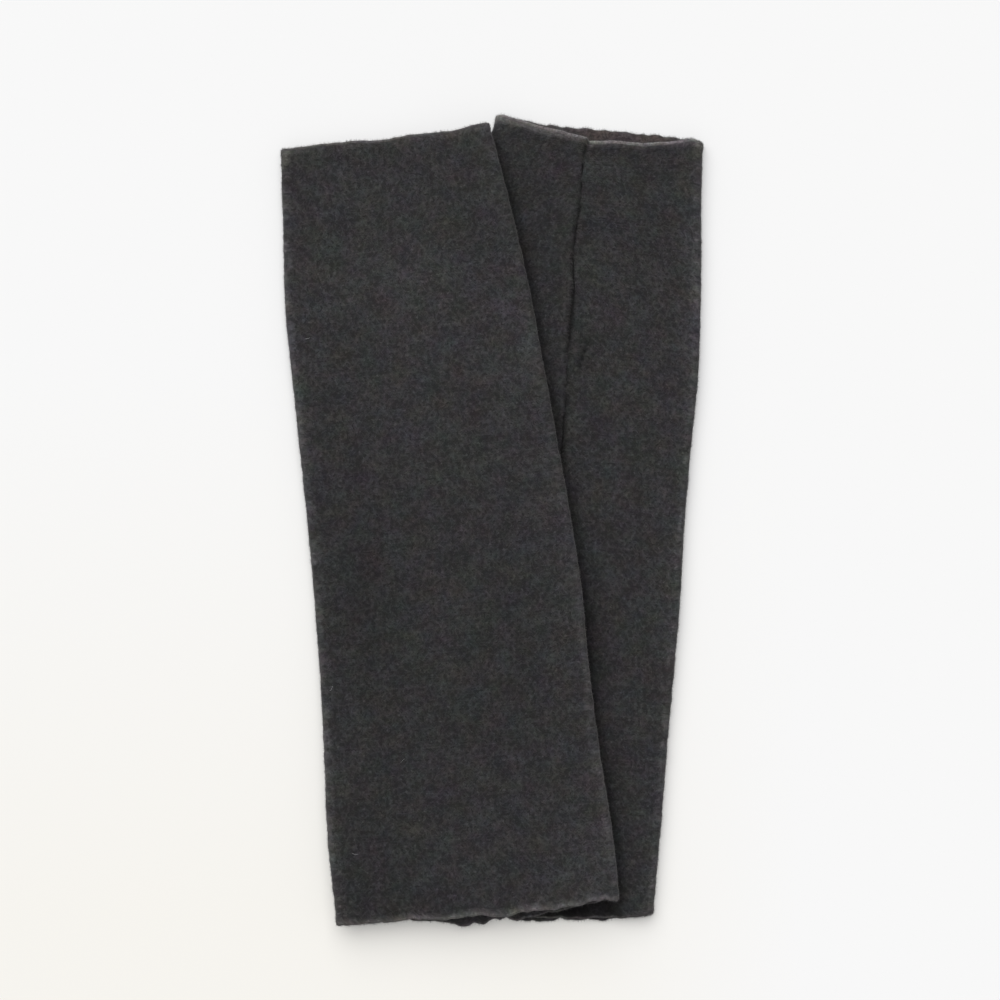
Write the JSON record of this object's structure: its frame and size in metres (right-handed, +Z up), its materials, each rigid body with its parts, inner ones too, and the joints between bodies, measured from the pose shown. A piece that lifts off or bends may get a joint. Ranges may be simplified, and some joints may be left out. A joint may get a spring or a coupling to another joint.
{
  "type": "pair of knitted arm warmers",
  "caption": "Pair of open-ended tapered arm warmers in thick fulled charcoal knit, laid flat in an upturned V, one over the other, each with a single lengthwise seam.",
  "frame": {"origin": "on the table, under the middle of the pair's box", "axes": "+Y from the wide elbow ends to the narrow wrist ends, +X towards the lower warmer's outer fold, +Z up from the table"},
  "size_m": [0.1624, 0.3116, 0.0122],
  "materials": {
    "charcoal_knit": "matt, fulled and slightly hairy"
  },
  "bodies": {
    "root": {"warmer_lower": "charcoal_knit", "warmer_upper": "charcoal_knit"}
  },
  "joints": []
}
